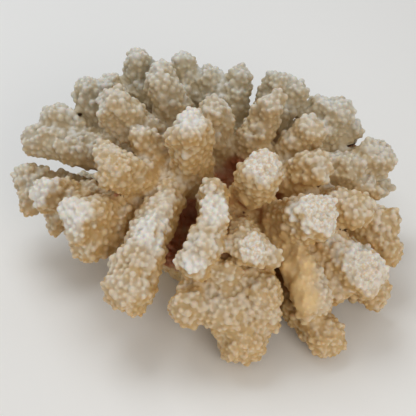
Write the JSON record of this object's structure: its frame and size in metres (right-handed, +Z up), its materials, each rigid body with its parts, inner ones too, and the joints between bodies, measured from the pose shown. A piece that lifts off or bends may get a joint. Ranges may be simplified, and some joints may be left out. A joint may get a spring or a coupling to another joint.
{
  "type": "branching coral",
  "caption": "Bleached branching coral: a dome of thick fingers covered in small round knobs, forking from one stump that is cut off flat so that it stands on a surface.",
  "frame": {"origin": "centre of the flat cut under the stump, on the surface that the coral rests on", "axes": "+Z up, -Y towards the front that the picture shows, +X to the right in the picture"},
  "size_m": [0.2131, 0.1914, 0.1088],
  "materials": {
    "coral": "matte, chalky and slightly translucent",
    "stump": "matte and rough"
  },
  "bodies": {
    "root": {"stump": "stump", "front_left_branch": "coral", "front_crest_branch": "coral", "front_low_branch": "coral", "front_right_branch": "coral", "front_right_low_branch": "coral", "right_front_branch": "coral", "right_front_low_branch": "coral", "right_low_branch": "coral", "right_mid_branch": "coral", "right_high_branch": "coral", "right_back_low_branch": "coral", "centre_front_branch": "coral", "centre_right_branch": "coral", "back_right_low_branch": "coral", "back_right_front_branch": "coral", "back_right_branch": "coral", "back_right_spire": "coral", "back_centre_branch": "coral", "back_centre_left_branch": "coral", "centre_back_branch": "coral", "centre_branch": "coral", "left_tall_branch": "coral", "back_left_small_branch": "coral", "back_left_branch": "coral", "left_high_branch": "coral", "left_ridge_branch": "coral", "left_high_outer_branch": "coral", "left_upper_branch": "coral", "left_branch": "coral", "left_inner_branch": "coral", "left_front_branch": "coral", "left_low_branch": "coral", "left_low_outer_branch": "coral", "rear_left_branch": "coral", "rear_centre_left_branch": "coral", "rear_centre_branch": "coral", "rear_centre_right_branch": "coral", "rear_right_branch": "coral", "rear_low_left_branch": "coral", "rear_low_centre_branch": "coral", "rear_low_right_branch": "coral", "left_back_low_branch": "coral", "right_back_low_outer_branch": "coral"}
  },
  "joints": []
}
